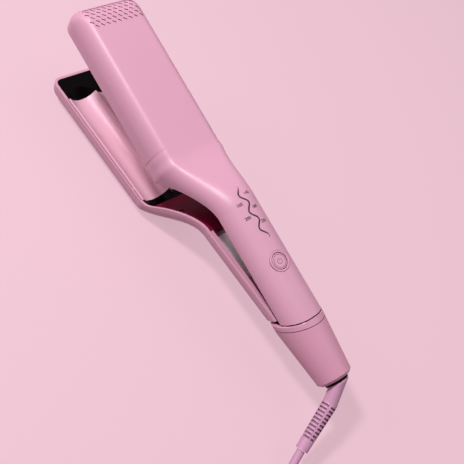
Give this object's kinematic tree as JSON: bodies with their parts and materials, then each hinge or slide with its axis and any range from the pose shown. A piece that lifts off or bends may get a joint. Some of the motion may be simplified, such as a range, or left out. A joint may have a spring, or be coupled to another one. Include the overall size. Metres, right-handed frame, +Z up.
{
  "type": "hair waver",
  "caption": "Hand-held hair waver with a grooved heated jaw, a sprung lower arm on a hinge pin, a power button and a swivel cord exit.",
  "frame": {"origin": "centre of the lower head's flat bottom, which is the face the tool rests on", "axes": "+X along the lower arm towards the tip, +Y to the tool's left, +Z up"},
  "size_m": [0.469, 0.1325, 0.1055],
  "materials": {
    "pink_plastic": "satin moulded shell",
    "dark_plastic": "dark maroon moulded cover",
    "coated_plate": "maroon ceramic coating on cast aluminium",
    "black_plastic": "glossy heat-proof moulding",
    "heater_steel": "plain",
    "mica": "pressed mica",
    "circuit_board": "solder mask",
    "pin_steel": "plain",
    "bush_brass": "turned",
    "lilac_rubber": "matte flexible moulding"
  },
  "bodies": {
    "main_body": {"upper_housing": "pink_plastic", "upper_front_cap": "black_plastic", "upper_rear_cap": "black_plastic", "upper_wave_plate": "coated_plate", "upper_heater": "heater_steel", "upper_insulator": "mica", "thermal_fuse": "heater_steel", "upper_inner_cover": "dark_plastic", "upper_cover_screws": "pin_steel", "control_board": "circuit_board", "tact_switch": "black_plastic", "button_ring": "pink_plastic", "hinge_collar": "pink_plastic", "rear_cap": "pink_plastic", "hinge_pin": "pin_steel", "torsion_spring": "pin_steel", "swivel_washer": "black_plastic", "power_cord": "lilac_rubber", "power_cord_coil": "lilac_rubber", "coil_tie": "lilac_rubber", "power_cord_tail": "lilac_rubber", "plug_body": "lilac_rubber", "plug_pins": "pin_steel"},
    "button": {"power_button": "pink_plastic"},
    "swivel": {"swivel_hub": "black_plastic", "strain_relief": "lilac_rubber"},
    "lower_arm": {"lower_housing": "pink_plastic", "lower_front_cap": "black_plastic", "lower_rear_cap": "black_plastic", "lower_wave_plate": "coated_plate", "lower_heater": "heater_steel", "lower_insulator": "mica", "temperature_sensor": "black_plastic", "lower_neck_cover": "dark_plastic", "lever_liner": "pink_plastic", "lower_cover_screws": "pin_steel", "hinge_bush": "bush_brass"}
  },
  "joints": [
    {"name": "lower_arm_hinge", "type": "hinge", "parent": "main_body", "child": "lower_arm", "pos_m": [-0.2213, 0, 0.0408], "axis": [0, -1, 0], "range_deg": [0, 12.4], "stiffness_Nm_per_rad": 2.3, "springref_deg": -22.35},
    {"name": "power_button_press", "type": "slide", "parent": "main_body", "child": "button", "axis": [0.2147, 0, -0.9767], "range_m": [0, 0.0007], "stiffness_N_per_m": 900, "springref_m": -0.0005},
    {"name": "cord_swivel", "type": "hinge", "parent": "main_body", "child": "swivel", "pos_m": [-0.26378, 0, 0.04446], "axis": [0.9767, 0, 0.2147], "continuous": true}
  ]
}
